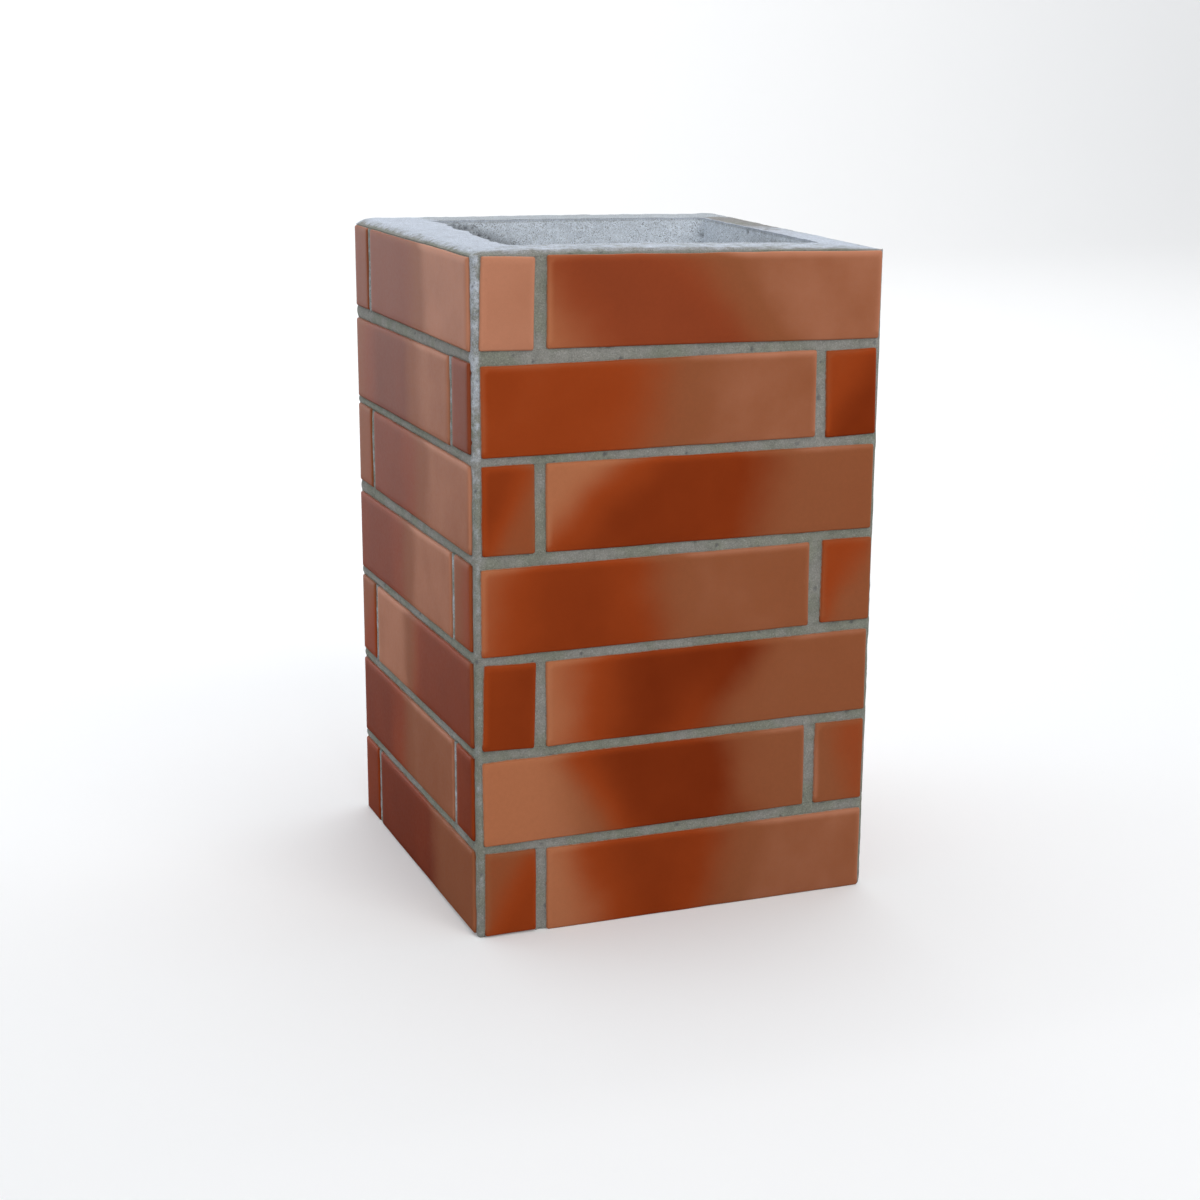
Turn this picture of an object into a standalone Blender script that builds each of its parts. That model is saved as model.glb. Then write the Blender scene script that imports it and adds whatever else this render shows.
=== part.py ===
"""Square chimney casing block, open from foot to head, faced with thin clinker slips.

Units are metres and +Z is up. The origin is under the middle of the foot. The front face looks
towards -Y. The concrete shell and its joints are one cast solid, and every slip is a solid of its
own that sits in a pocket of that shell.
"""

import math

import bmesh
import bpy

# Clinker slips
COURSES = 7
SLIP_HEIGHT = 0.0643
STRETCHER_LENGTH = 0.2572
CLOSER_LENGTH = 0.0392
SLIP_THICKNESS = 0.0065
SLIP_ARRIS = 0.0012

# Joints between the slips
BED_JOINT = 0.0076
CROSS_JOINT = 0.0082
JOINT_RECESS = 0.0025
CORNER_COVER = 0.0012
CORNER_ROUND = 0.0030
SEAT_GAP = 0.0003

# Concrete shell
WALL = 0.0400
SHAFT_CORNER = 0.0100
RIM_LIP = 0.0010
RIM_SLOPE_RISE = 0.0050
RIM_SLOPE_RUN = 0.0055

# Fineness of the rounded edges
ARRIS_STEPS = 2
CORNER_STEPS = 4

# Sizes that follow from the ones above
CORNER_BAND = SLIP_THICKNESS + CORNER_COVER
SIDE = 2 * CORNER_BAND + CLOSER_LENGTH + CROSS_JOINT + STRETCHER_LENGTH
COURSE_STEP = SLIP_HEIGHT + BED_JOINT
SLIPS_TOP = COURSES * SLIP_HEIGHT + (COURSES - 1) * BED_JOINT
LIP_TOP = SLIPS_TOP + RIM_LIP
HEIGHT = LIP_TOP + RIM_SLOPE_RISE

LENGTHS = {"closer": CLOSER_LENGTH, "stretcher": STRETCHER_LENGTH}
FACES = ("front", "right", "back", "left")

CONCRETE = {"color": (0.46, 0.49, 0.50), "roughness": 0.93, "metallic": 0.0}
CLINKER = {"color": (0.33, 0.11, 0.05), "roughness": 0.42, "metallic": 0.0}


def clear_scene():
    for thing in list(bpy.data.objects):
        bpy.data.objects.remove(thing, do_unlink=True)


def make_material(name, finish):
    material = bpy.data.materials.new(name)
    material.use_nodes = True
    shader = material.node_tree.nodes["Principled BSDF"]
    shader.inputs["Base Color"].default_value = (*finish["color"], 1.0)
    shader.inputs["Roughness"].default_value = finish["roughness"]
    shader.inputs["Metallic"].default_value = finish["metallic"]
    material.diffuse_color = (*finish["color"], 1.0)
    return material


def add_object(name, mesh, material=None, parent=None):
    thing = bpy.data.objects.new(name, mesh)
    bpy.context.scene.collection.objects.link(thing)
    thing.parent = parent
    if material and not mesh.materials:
        mesh.materials.append(material)
    return thing


def bm_to_mesh(bm, name):
    bmesh.ops.recalc_face_normals(bm, faces=bm.faces)
    mesh = bpy.data.meshes.new(name)
    bm.to_mesh(mesh)
    bm.free()
    return mesh


def rounded_square(bm, half, radius, z):
    """One loop of vertices, anticlockwise seen from above, with an arc at each corner."""
    loop = []
    for corner in range(4):
        middle = math.radians(45 + 90 * corner)
        centre_x = math.copysign(half - radius, math.cos(middle))
        centre_y = math.copysign(half - radius, math.sin(middle))
        for step in range(CORNER_STEPS + 1):
            angle = math.radians(90 * (corner + step / CORNER_STEPS))
            point = (centre_x + radius * math.cos(angle), centre_y + radius * math.sin(angle), z)
            loop.append(bm.verts.new(point))
    return loop


def join_loops(bm, loops):
    """Skin neighbouring loops with quads, and the last loop back to the first."""
    for lower, upper in zip(loops, loops[1:] + loops[:1]):
        for here in range(len(lower)):
            after = (here + 1) % len(lower)
            bm.faces.new((lower[here], lower[after], upper[after], upper[here]))


def shell_mesh():
    """The plain shell: outside up to the sloped rim, over the rim and down the shaft."""
    bm = bmesh.new()
    outer = SIDE / 2 - JOINT_RECESS
    shaft = SIDE / 2 - WALL
    loops = [
        rounded_square(bm, outer, CORNER_ROUND, 0.0),
        rounded_square(bm, outer, CORNER_ROUND, LIP_TOP),
        rounded_square(bm, outer - RIM_SLOPE_RUN, CORNER_ROUND, HEIGHT),
        rounded_square(bm, shaft, SHAFT_CORNER, HEIGHT),
        rounded_square(bm, shaft, SHAFT_CORNER, 0.0),
    ]
    join_loops(bm, loops)
    return bm_to_mesh(bm, "casing")


def course_pattern(course):
    """The slips of one course from left to right, as (kind, start) with start from the left edge.

    Odd courses begin with the short closer and even ones with the stretcher, so that the cross
    joints break from course to course and every corner shows a closer beside a stretcher.
    """
    kinds = ("closer", "stretcher") if course % 2 else ("stretcher", "closer")
    start = CORNER_BAND
    pattern = []
    for kind in kinds:
        pattern.append((kind, start))
        start += LENGTHS[kind] + CROSS_JOINT
    return pattern


def slip_mesh(kind):
    """A slip standing on z = 0 at x from 0 to its length, its face at y = 0, its back inside."""
    bm = bmesh.new()
    bmesh.ops.create_cube(bm, size=1.0)
    size = (LENGTHS[kind], SLIP_THICKNESS, SLIP_HEIGHT)
    for vert in bm.verts:
        for axis in range(3):
            vert.co[axis] = (vert.co[axis] + 0.5) * size[axis]
    front = [edge for edge in bm.edges if all(v.co.y < SLIP_THICKNESS / 2 for v in edge.verts)]
    bmesh.ops.bevel(
        bm,
        geom=front,
        offset=SLIP_ARRIS,
        offset_type="OFFSET",
        segments=ARRIS_STEPS,
        profile=0.5,
        affect="EDGES",
        clamp_overlap=True,
    )
    return bm_to_mesh(bm, kind)


def add_pocket(bm, kind, start, course, turn):
    """The room that a slip needs in the shell, as a box open towards the outside."""
    cut_past = JOINT_RECESS + CORNER_ROUND
    foot = course_foot(course) - SEAT_GAP
    if course == 1:
        foot = -cut_past
    low = (start - SIDE / 2 - SEAT_GAP, -SIDE / 2 - cut_past, foot)
    high = (
        start - SIDE / 2 + LENGTHS[kind] + SEAT_GAP,
        -SIDE / 2 + SLIP_THICKNESS + SEAT_GAP,
        course_foot(course) + SLIP_HEIGHT + SEAT_GAP,
    )
    made = bmesh.ops.create_cube(bm, size=1.0)["verts"]
    cosine, sine = round(math.cos(turn)), round(math.sin(turn))
    for vert in made:
        x, y, z = (low[a] + (vert.co[a] + 0.5) * (high[a] - low[a]) for a in range(3))
        vert.co = (x * cosine - y * sine, x * sine + y * cosine, z)


def course_foot(course):
    return (course - 1) * COURSE_STEP


def build():
    clear_scene()
    concrete = make_material("concrete", CONCRETE)
    clinker = make_material("clinker", CLINKER)
    casing = add_object("casing", shell_mesh(), concrete)
    meshes = {kind: slip_mesh(kind) for kind in LENGTHS}
    pockets = bmesh.new()
    for face_number, face in enumerate(FACES):
        turn = math.radians(90 * face_number)
        holder = add_object(f"{face}_face", None)
        holder.rotation_euler.z = turn
        for course in range(1, COURSES + 1):
            for kind, start in course_pattern(course):
                slip = add_object(f"{face}_course_{course}_{kind}", meshes[kind], clinker, holder)
                slip.location = (start - SIDE / 2, -SIDE / 2, course_foot(course))
                add_pocket(pockets, kind, start, course, turn)
    cutter = add_object("pocket_cutter", bm_to_mesh(pockets, "pocket_cutter"))
    cutter.hide_render = True
    cutter.display_type = "WIRE"
    pocket_cut = casing.modifiers.new("slip_pockets", "BOOLEAN")
    pocket_cut.operation = "DIFFERENCE"
    pocket_cut.solver = "EXACT"
    pocket_cut.object = cutter


build()
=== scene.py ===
"""A square concrete flue block faced with flashed clinker slips, standing on a pale floor."""
import math

import bpy
import numpy as np
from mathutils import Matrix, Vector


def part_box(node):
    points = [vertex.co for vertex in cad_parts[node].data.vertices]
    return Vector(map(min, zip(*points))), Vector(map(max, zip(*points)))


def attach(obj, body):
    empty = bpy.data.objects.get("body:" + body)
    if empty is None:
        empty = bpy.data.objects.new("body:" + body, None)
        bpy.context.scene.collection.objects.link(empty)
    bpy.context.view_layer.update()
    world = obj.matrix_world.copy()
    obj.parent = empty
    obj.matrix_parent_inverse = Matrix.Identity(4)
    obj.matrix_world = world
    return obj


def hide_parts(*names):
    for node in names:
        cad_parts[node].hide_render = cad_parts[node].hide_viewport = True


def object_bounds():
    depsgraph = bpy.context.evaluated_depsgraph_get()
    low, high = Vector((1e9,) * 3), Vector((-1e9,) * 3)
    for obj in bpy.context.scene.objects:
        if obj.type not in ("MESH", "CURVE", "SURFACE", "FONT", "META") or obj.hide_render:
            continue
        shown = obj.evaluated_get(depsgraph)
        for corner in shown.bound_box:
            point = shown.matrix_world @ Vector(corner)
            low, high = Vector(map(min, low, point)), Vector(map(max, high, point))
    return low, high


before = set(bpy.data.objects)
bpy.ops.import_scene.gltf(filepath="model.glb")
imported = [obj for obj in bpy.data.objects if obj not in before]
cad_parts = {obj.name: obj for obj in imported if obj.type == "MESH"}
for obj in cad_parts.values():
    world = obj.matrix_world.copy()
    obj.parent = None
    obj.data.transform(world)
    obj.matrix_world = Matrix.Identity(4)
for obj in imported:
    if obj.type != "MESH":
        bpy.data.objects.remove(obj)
cad_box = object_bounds()


# Clinker slips. Thin fired-clay tiles, 64.3 mm high and 6.5 mm thick, pressed into the concrete in
# seven courses on each face. The kiln has flashed them: broad dark red-brown clouds with soft edges
# drift over a light tan body. Their arrises are rounded. The upper and left ones are painted paler
# as a highlight and partly hazed with cement, and the lower ones are painted dark as shade.
FACES = ("front", "right", "back", "left")
COURSES = range(1, 8)
MM = 0.001
ARRIS = 1.8 * MM
SOFT_EDGE = 7.0 * MM
SOFT_SHARE = 0.5
# RIGHT_SHARE: how much weaker the painted highlight is on the right arris than on the left.
RIGHT_SHARE = 0.5
PILLOW = 0.25 * MM
ARRIS_STEPS = 4
FACE_STEP = 4.0 * MM
BOW = 0.12 * MM
WAVER = 0.30 * MM
DRIFT = 5.0 * MM


def chance(cube, seed):
    """A value from 0 to 1 for each cube of space, which looks random and is always the same.

    The cube's three whole numbers are multiplied by large primes and added up, and the bits of the
    sum are folded over, multiplied once more and folded again.
    """
    key = cube @ np.array([73856093, 19349663, 83492791]) + seed * 7919
    key = (key ^ (key >> 13)) * 1274126177
    return ((key ^ (key >> 16)) & 0xFFFF) / 65535


def lumps(points, size, seed):
    """Smooth noise from -1 to 1.

    Space is cut into cubes of the given size, each corner of a cube has a random value, and a point
    gets the blend of its cube's eight values, eased along each axis by 3t^2 - 2t^3.
    """
    cell = np.floor(points / size).astype(np.int64)
    part = points / size - cell
    part = part * part * (3 - 2 * part)
    total = np.zeros(points.shape[:-1])
    for corner in range(8):
        step = np.array([corner & 1, corner >> 1 & 1, corner >> 2 & 1])
        value = 2 * chance(cell + step, seed) - 1
        total += value * np.prod(np.where(step, part, 1 - part), axis=-1)
    return total


def ease(low, high, value):
    """0 below low, 1 above high, and 3t^2 - 2t^3 between them."""
    share = np.clip((value - low) / (high - low), 0, 1)
    return share * share * (3 - 2 * share)


def turned(points, face):
    """Points of the front face carried round to another face, by quarter turns about the Z axis."""
    angle = math.radians(90 * FACES.index(face))
    cosine, sine = round(math.cos(angle)), round(math.sin(angle))
    x, y, z = np.moveaxis(points, -1, 0)
    return np.stack([x * cosine - y * sine, x * sine + y * cosine, z], axis=-1)


def grid_faces(rows, columns):
    """The quads of a grid of points, counter-clockwise where columns run right and rows run up."""
    row, column = np.mgrid[0:rows - 1, 0:columns - 1]
    corner = row * columns + column
    quads = np.stack([corner, corner + 1, corner + columns + 1, corner + columns], axis=-1)
    return quads.reshape(-1, 4)


def new_piece(name, points, faces, material, slot, nodes, **values):
    """A mesh object with its material, one float attribute for each named value. slot is not used."""
    mesh = bpy.data.meshes.new(name)
    mesh.from_pydata(points.tolist(), [], [list(map(int, face)) for face in faces])
    for key, value in values.items():
        attribute = mesh.attributes.new(key, "FLOAT", "POINT")
        attribute.data.foreach_set("value", np.asarray(value, np.float32))
    mesh.shade_smooth()
    mesh.set_sharp_from_angle(angle=math.radians(50))
    mesh.materials.append(material)
    piece = bpy.data.objects.new(name, mesh)
    bpy.context.scene.collection.objects.link(piece)
    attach(piece, "root")
    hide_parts(*nodes)
    return piece


def spread(length):
    """Places along one side of a slip: close together round each arris, then even steps."""
    turn = np.radians(np.linspace(0, 90, ARRIS_STEPS + 1))
    edge = ARRIS * (1 - np.cos(turn))
    inner = np.linspace(ARRIS, length - ARRIS, round((length - 2 * ARRIS) / FACE_STEP) + 1)
    return np.concatenate([edge, inner[1:-1], length - edge[::-1]])


def slip_shape(length, height):
    """The front of a slip as a grid bent round its arrises.

    Past the flat part, how far a point lies into the two arrises is a pair of shares from 0 to 1.
    The pair is squeezed from a square onto a disc, and the surface falls away as a circle does:
    depth = r - sqrt(r^2 - a^2 - b^2). rim is 1 on the arrises and 0 inside, and fades over the soft
    edge beside them. The last value is a painted highlight: the same on the left and upper arrises,
    and weaker on the right one. On the lower one, which is in the shade and holds dirt, it is -1,
    painted shade.
    """
    across, up = np.meshgrid(spread(length), spread(height))
    past = []
    for place, size in ((across, length), (up, height)):
        near = np.clip((ARRIS - place) / ARRIS, 0, 1)
        far = np.clip((place - size + ARRIS) / ARRIS, 0, 1)
        past.append(far - near)
    a, b = past
    disc_a = a * np.sqrt(1 - b * b / 2)
    disc_b = b * np.sqrt(1 - a * a / 2)
    depth = ARRIS * (1 - np.sqrt(np.clip(1 - disc_a ** 2 - disc_b ** 2, 0, 1)))
    across = across + ARRIS * (disc_a - a)
    up = up + ARRIS * (disc_b - b)
    inside = np.minimum(np.minimum(across, length - across), np.minimum(up, height - up))
    soft = 1 - ease(0, SOFT_EDGE, inside)
    depth = depth + PILLOW * soft ** 2
    rim = np.maximum(SOFT_SHARE * soft, np.maximum(np.abs(a), np.abs(b)) ** 2)
    # Painted highlight on the upper and left arrises, weaker on the right, painted shade below.
    lit = np.minimum(np.minimum(across, (length - across) / RIGHT_SHARE), height - up)
    arris_highlight_and_shade = SOFT_SHARE * (1 - ease(0, SOFT_EDGE, lit))
    arris_highlight_and_shade = np.maximum(arris_highlight_and_shade, np.maximum(np.maximum(-a, RIGHT_SHARE * a), b) ** 2)
    under = SOFT_SHARE * (1 - ease(0, SOFT_EDGE / 2, up))
    under = np.maximum(under, np.clip(-b, 0, 1) ** 2)
    return across, up, depth, rim, arris_highlight_and_shade * (1 - under) - under


def boundary(rows, columns):
    """The grid points on the outline, once round, counter-clockwise."""
    index = np.arange(rows * columns).reshape(rows, columns)
    return np.concatenate([index[0, :-1], index[:-1, -1], index[-1, :0:-1], index[:0:-1, 0]])


def clouded(along, up, cloud):
    """How darkly each point is flashed: -0.4 pale, 0 tan, 0.5 deep orange and 1 red-brown.

    The body's tone eases from left to right between start and stop. A cloud of the peak's tone
    lies over it there, and soft is how far its ends fade both ways. Start and stop are shares of
    the slip's length at mid-height, and each leans to the right, going up, by its own share.
    """
    start, start_lean, stop, stop_lean, soft, left, right, peak = cloud
    from_start = along - start - start_lean * (up - 0.5)
    from_stop = along - stop - stop_lean * (up - 0.5)
    body = left + (right - left) * ease(0, 1, from_start / (from_start - from_stop))
    if peak is None:
        return body
    return body + (peak - body) * ease(-soft, soft, from_start) * ease(soft, -soft, from_stop)


# How the slips that the picture shows were laid, in whole mm: the shift to the right, and how far
# the left and the right end sit above the even course. Of the right side, the picture shows only
# the upper edge. The other slips of the front and the left side are even.
EVEN = (0, 0, 0)
SEEN_SIDES = ("front", "left")
SEEN_LAY = {
    "front_course_7_closer": (0, 1, 0),
    "front_course_7_stretcher": (1, 1, -1),
    "front_course_6_stretcher": (0, -2, 0),
    "front_course_6_closer": (0, -1, 0),
    "front_course_4_stretcher": (-1, -2, 0),
    "front_course_4_closer": (1, 1, 1),
    "front_course_3_closer": (0, 0, -1),
    "front_course_3_stretcher": (0, -1, 1),
    "front_course_2_stretcher": (-1, -1, 1),
    "front_course_2_closer": (0, 1, 1),
    "front_course_1_closer": (0, 1, 1),
    "left_course_6_stretcher": (0, -2, -1),
    "left_course_4_stretcher": (0, -2, 0),
    "left_course_4_closer": (0, 1, 1),
    "left_course_3_closer": (0, -1, -1),
    "left_course_3_stretcher": (0, -1, 1),
    "left_course_2_stretcher": (0, -1, 1),
    "left_course_2_closer": (0, 2, 2),
    "left_course_1_stretcher": (0, 0, 2),
    "right_course_7_stretcher": (0, -1, 0),
    "right_course_7_closer": (0, -1, -1),
}
KINDS = ("closer", "stretcher")
SLIPS = [(face, course, kind) for face in FACES for course in COURSES for kind in KINDS]
# The most that chance moves any other slip by, in mm, in the same three ways.
LAY_LUCK = (0.4, 0.8, 0.8)
luck = np.random.default_rng(1907)
lay = {}
for face, course, kind in SLIPS:
    name = f"{face}_course_{course}_{kind}"
    if face in SEEN_SIDES or name in SEEN_LAY:
        push, *lifts = SEEN_LAY.get(name, EVEN)
    else:
        push, *lifts = luck.uniform(-1, 1, 3) * LAY_LUCK
    lifts = np.abs(lifts) if course == 1 else lifts
    lay[name] = np.array([push, *lifts]) * MM


def slid(name, length, along, rise):
    """How far a point of a laid slip moves right and up.

    along runs from 0 to 1 over the slip's length and rise is the height over its middle. The slip
    turns as one piece: its lift changes evenly from end to end, and what is higher leans across.
    """
    push, left, right = lay[name]
    return push - (right - left) / length * rise, left + (right - left) * along


# Flashing of the stretchers that the picture shows, as clouded() takes it: start and its lean, stop
# and its lean, softness, the body's tone at the left and at the right, and the cloud's own.
SEEN_CLOUDS = {
    "front_course_7_stretcher": (0.02, -0.20, 0.54, -0.20, 0.19, 0.10, -0.14, 0.72),
    "front_course_6_stretcher": (-0.20, 0.00, 0.51, 0.05, 0.21, 0.50, -0.08, 0.66),
    "front_course_5_stretcher": (0.11, 0.28, 0.61, 0.06, 0.20, -0.03, 0.06, 0.95),
    "front_course_4_stretcher": (0.05, 0.05, 0.51, -0.03, 0.18, 0.20, 0.00, 0.86),
    "front_course_3_stretcher": (0.13, 0.00, 0.54, 0.18, 0.19, 0.12, 0.04, 1.07),
    "front_course_2_stretcher": (0.34, -0.18, 0.73, -0.04, 0.19, -0.11, 0.04, 1.05),
    "front_course_1_stretcher": (0.14, -0.10, 0.53, 0.05, 0.19, 0.05, -0.08, 0.88),
    "left_course_7_stretcher": (-0.30, 0.00, 0.50, 0.00, 0.17, 0.45, -0.26, 0.64),
    "left_course_6_stretcher": (0.13, 0.00, 0.58, 0.00, 0.17, 0.15, -0.14, 0.98),
    "left_course_5_stretcher": (-0.30, 0.00, 0.47, 0.00, 0.18, 0.60, -0.15, 0.85),
    "left_course_4_stretcher": (-0.30, 0.00, 0.51, 0.00, 0.18, 0.60, -0.20, 0.92),
    "left_course_3_stretcher": (0.42, 0.00, 0.92, 0.00, 0.16, -0.24, 0.45, 0.92),
    "left_course_2_stretcher": (-0.30, 0.00, 0.46, 0.00, 0.17, 0.80, -0.05, 1.00),
    "left_course_1_stretcher": (-0.30, 0.00, 0.55, 0.00, 0.18, 0.85, 0.12, 1.08),
}
# The closers have no cloud of their own: the lean, and the tones at the left and the right end.
SEEN_TONES = {
    "front_course_7_closer": (0.0, -0.40, -0.32),
    "front_course_6_closer": (1.0, 0.62, 1.05),
    "front_course_5_closer": (1.0, 0.85, 0.25),
    "front_course_4_closer": (1.0, 0.60, 0.12),
    "front_course_3_closer": (0.3, 0.80, 0.90),
    "front_course_2_closer": (-0.4, 0.05, 0.40),
    "front_course_1_closer": (1.0, 0.22, 0.72),
    "left_course_7_closer": (0.0, 0.50, 0.45),
    "left_course_6_closer": (0.0, 0.80, 0.90),
    "left_course_5_closer": (0.0, 0.15, 0.25),
    "left_course_4_closer": (0.0, 0.05, 0.60),
    "left_course_3_closer": (1.2, 0.15, 0.75),
    "left_course_2_closer": (0.0, 0.95, 0.97),
    "left_course_1_closer": (0.0, 0.88, 0.92),
}


def end_to_end(lean, left, right):
    """Flashing without a cloud: the body's tone eases from the slip's left end to its right."""
    return (0.0, lean, 1.0, lean, None, left, right, None)


SEEN_CLOUDS |= {name: end_to_end(*tones) for name, tones in SEEN_TONES.items()}


def chance_cloud(draw, kind):
    """Flashing for a slip that the picture doesn't show, drawn from the same range of looks."""
    start = draw.uniform(-0.3, 0.35)
    stop = max(start, 0) + draw.uniform(0.38, 0.52)
    lean, stop_lean = draw.uniform(-0.18, 0.18, 2)
    left, right = draw.uniform(-0.15, 0.3, 2)
    tones = draw.uniform(-0.2, 0.95) + draw.uniform(-0.3, 0.3, 2)
    peak = draw.uniform(0.8, 1.0)
    if kind == "closer":
        return end_to_end(lean * 3, *np.clip(tones, -0.3, 0.97))
    return (start, lean, stop, stop_lean, 0.14, left, right, peak)


class Wire:
    """One output of a shader node. Arithmetic on it adds the Math nodes that work it out."""

    def __init__(self, tree, socket=None):
        self.tree = tree
        self.socket = socket

    def node(self, kind, settings=None, inputs=None, output=0):
        """Any other node: its settings first, then the values or wires of its named inputs."""
        made = self.tree.nodes.new("ShaderNode" + kind)
        for key, value in (settings or {}).items():
            setattr(made, key, value)
        for key, value in (inputs or {}).items():
            if isinstance(value, Wire):
                self.tree.links.new(value.socket, made.inputs[key])
            else:
                made.inputs[key].default_value = value
        return Wire(self.tree, made.outputs[output])

    def math(self, operation, *values, clamp=False):
        settings = {"operation": operation, "use_clamp": clamp}
        return self.node("Math", settings, dict(enumerate(values)))

    def __add__(self, other):
        return self.math("ADD", self, other)

    def __sub__(self, other):
        return self.math("SUBTRACT", self, other)

    def __mul__(self, other):
        return self.math("MULTIPLY", self, other)

    def __rsub__(self, other):
        return self.math("SUBTRACT", other, self)

    __radd__ = __add__
    __rmul__ = __mul__

    def clamped(self):
        return self.math("ADD", self, 0.0, clamp=True)

    def between(self, low, high):
        """0 below low, 1 above high, eased between them."""
        inputs = {"Value": self, "From Min": low, "From Max": high}
        return self.node("MapRange", {"interpolation_type": "SMOOTHSTEP"}, inputs)

    def noise(self, size, detail=2.0, roughness=0.5):
        """Noise of this lump size in metres, read at this wire's coordinates."""
        inputs = {"Vector": self, "Scale": 1 / size, "Detail": detail, "Roughness": roughness}
        return self.node("TexNoise", None, inputs)

    def attribute(self, name):
        """A float attribute of the mesh."""
        settings = {"attribute_type": "GEOMETRY", "attribute_name": name}
        return self.node("Attribute", settings, output="Fac")

    def mixed(self, first, second):
        """A colour: first where this wire is 0, second where it is 1."""
        inputs = {0: self, 6: first, 7: second}
        return self.node("Mix", {"data_type": "RGBA"}, inputs, output=2)

    def shaded(self, factor):
        """This colour times a number, through Vector Math so that it stays a colour."""
        return self.node("VectorMath", {"operation": "SCALE"}, {0: self, "Scale": factor})


def new_material(name, base, roughness):
    """A Principled material and a wire of its coordinates. base is only its viewport colour."""
    material = bpy.data.materials.new(name)
    material.use_nodes = True
    material.diffuse_color = (*base, 1.0)
    shader = material.node_tree.nodes["Principled BSDF"]
    shader.inputs["Roughness"].default_value = roughness
    place = Wire(material.node_tree).node("TexCoord", output="Object")
    return material, shader, place


def connect(material, shader, **wires):
    for key, wire in wires.items():
        material.node_tree.links.new(wire.socket, shader.inputs[key.replace("_", " ")])


PALE = (0.44, 0.185, 0.108, 1)
TAN = (0.250, 0.077, 0.030, 1)
# Warmer, brighter clay painted at a stretcher's left end as a highlight.
WARM_HIGHLIGHT = (0.385, 0.135, 0.060, 1)
DEEP = (0.288, 0.0440, 0.0065, 1)
RED_BROWN = (0.155, 0.0180, 0.0010, 1)
# Duller, greyer clay painted on as a sheen, most on the left side.
SHEEN_DULL_BROWN = (0.165, 0.060, 0.035, 1)
# The colour of the painted highlight on the upper and left arrises.
ARRIS_HIGHLIGHT = (0.50, 0.20, 0.10, 1)
# Cement haze on the upper and left arrises, partly a painted highlight there.
CEMENT_HAZE_AND_HIGHLIGHT = (0.42, 0.40, 0.36, 1)


def clinker_material():
    """Light clay mixed into dark clay by the flash, mottled, with a painted highlight on the upper
    and left arrises and painted shade on the lower ones.

    The light clay runs from pale to tan by the flash, and is painted warmer and brighter at a
    stretcher's left end as a highlight. The dark clay runs from deep orange to red-brown by how hard
    it was fired, and is painted duller as a sheen, most on the left side and towards the top.
    """
    material, shader, place = new_material("clinker", TAN[:3], 0.46)
    shader.inputs["Specular IOR Level"].default_value = 0.05
    names = ("flash", "fired", "arris_highlight_and_shade", "left_end_highlight", "dull_sheen")
    flash, fired, arris_highlight_and_shade, left_end_highlight, dull_sheen = (place.attribute(name) for name in names)
    cloud = place.noise(34 * MM, 3.0) - 0.5
    mottle = place.noise(3 * MM, 3.0, 0.6) - 0.5
    speck = place.noise(0.7 * MM, 1.0)
    # The upper and left arrises are painted paler as a highlight.
    tone = flash + cloud * 0.22 + mottle * 0.08 - arris_highlight_and_shade.between(0.0, 0.6) * 0.22
    # A stretcher's left end is painted warmer and brighter as a highlight.
    light = left_end_highlight.mixed(tone.between(-0.45, 0.05).mixed(PALE, TAN), WARM_HIGHLIGHT)
    fired = fired + (tone - flash)
    # The dark clay is painted duller as a sheen, most on the left side and towards the top.
    dark = dull_sheen.mixed(fired.between(0.50, 1.25).mixed(DEEP, RED_BROWN), SHEEN_DULL_BROWN)
    body = tone.between(0.02, 0.68).mixed(light, dark)
    body = body.shaded(1.0 + mottle * 0.14 + (speck - 0.5) * 0.08)
    # Painted highlight: brighter upper and left arrises, palest at the arris. Painted shade below.
    body = body.shaded(1.0 + arris_highlight_and_shade.between(0.1, 0.7) * 0.10 - (0.0 - arris_highlight_and_shade).between(0.2, 1.0) * 0.45)
    edge = arris_highlight_and_shade.between(0.60, 0.95) * 0.35
    body = edge.mixed(body, ARRIS_HIGHLIGHT)
    # Cement haze only on the lit upper and left arrises, so partly a painted highlight.
    haze_and_highlight = arris_highlight_and_shade.between(0.85, 1.0) * place.noise(2.5 * MM, 3.0).between(0.30, 0.65)
    body = (haze_and_highlight * 0.7).mixed(body, CEMENT_HAZE_AND_HIGHLIGHT)
    roughness = 0.44 + mottle * 0.15 + haze_and_highlight * 0.3
    relief = mottle * 0.5 + speck * 0.2 + cloud * 2.0
    bump = place.node("Bump", None, {"Height": relief, "Strength": 0.4, "Distance": 0.12 * MM})
    connect(material, shader, Base_Color=body, Roughness=roughness, Normal=bump)
    return material


CLINKER = clinker_material()
# How much duller than the front's the dark clay of each side is painted in its top course, as a
# sheen that fades towards the foot, and the least that it is in any top course.
SHEEN_DULLNESS = {"front": 0.0, "right": 0.1, "back": 0.3, "left": 0.6}
SHEEN_DULL_TOP = 0.27
# The slips that end at the front's right corner reach this much nearer to it, from a share on.
LONG_END = 2.0 * MM
LONG_FROM = 0.4
# Shares of a slip's length: where the painted highlight at a stretcher's left end fades out and is
# whole, and where the dark clay stops following the flash and is as brown as the cloud's middle.
HIGHLIGHT_END = (0.40, 0.12)
FIRED_EVEN = (0.30, 0.60)


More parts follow.
